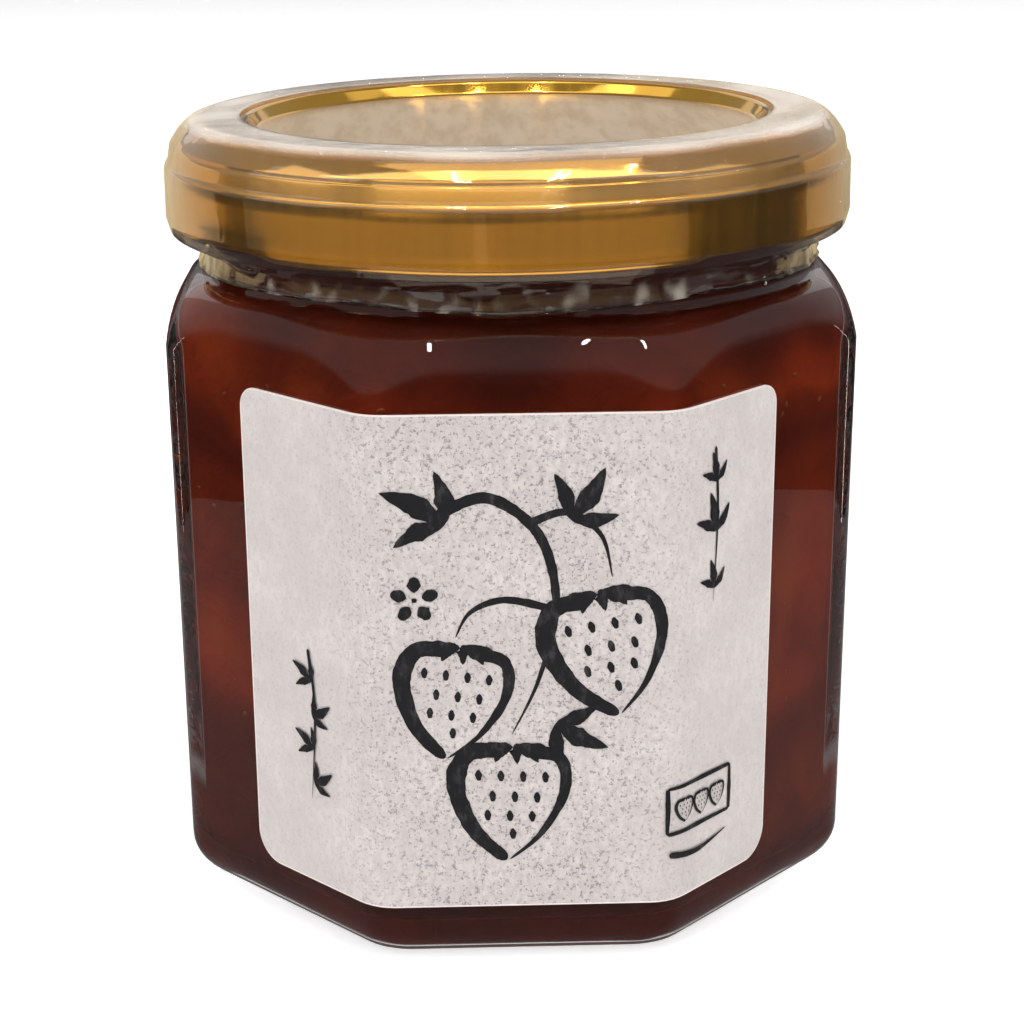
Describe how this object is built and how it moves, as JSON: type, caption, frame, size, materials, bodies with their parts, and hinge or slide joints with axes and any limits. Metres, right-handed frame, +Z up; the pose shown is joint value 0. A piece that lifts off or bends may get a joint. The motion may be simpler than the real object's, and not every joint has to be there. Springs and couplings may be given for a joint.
{
  "type": "jam jar",
  "caption": "Octagonal glass jar filled with dark jam, shut with a gold twist-off lid under a clear cap seal, with a plain paper label round its front.",
  "frame": {"origin": "on the supporting surface, at the middle of the jar's foot", "axes": "+Z up along the jar's axis; the middle of the labelled front face points to -Y"},
  "size_m": [0.0674, 0.0674, 0.0758],
  "materials": {
    "clear_glass": "clear pressed glass, smooth",
    "dark_jam": "stands for dark red-brown jam, wet and glossy",
    "gold_lacquer": "glossy gold lacquer on sheet metal",
    "washi_paper": "uncoated greyish beige paper with fine dark specks",
    "shrink_film": "clear shrink film, glossy"
  },
  "bodies": {
    "root": {"glass_jar": "clear_glass", "jam": "dark_jam", "lid": "gold_lacquer", "label": "washi_paper", "cap_seal": "shrink_film"}
  },
  "joints": []
}
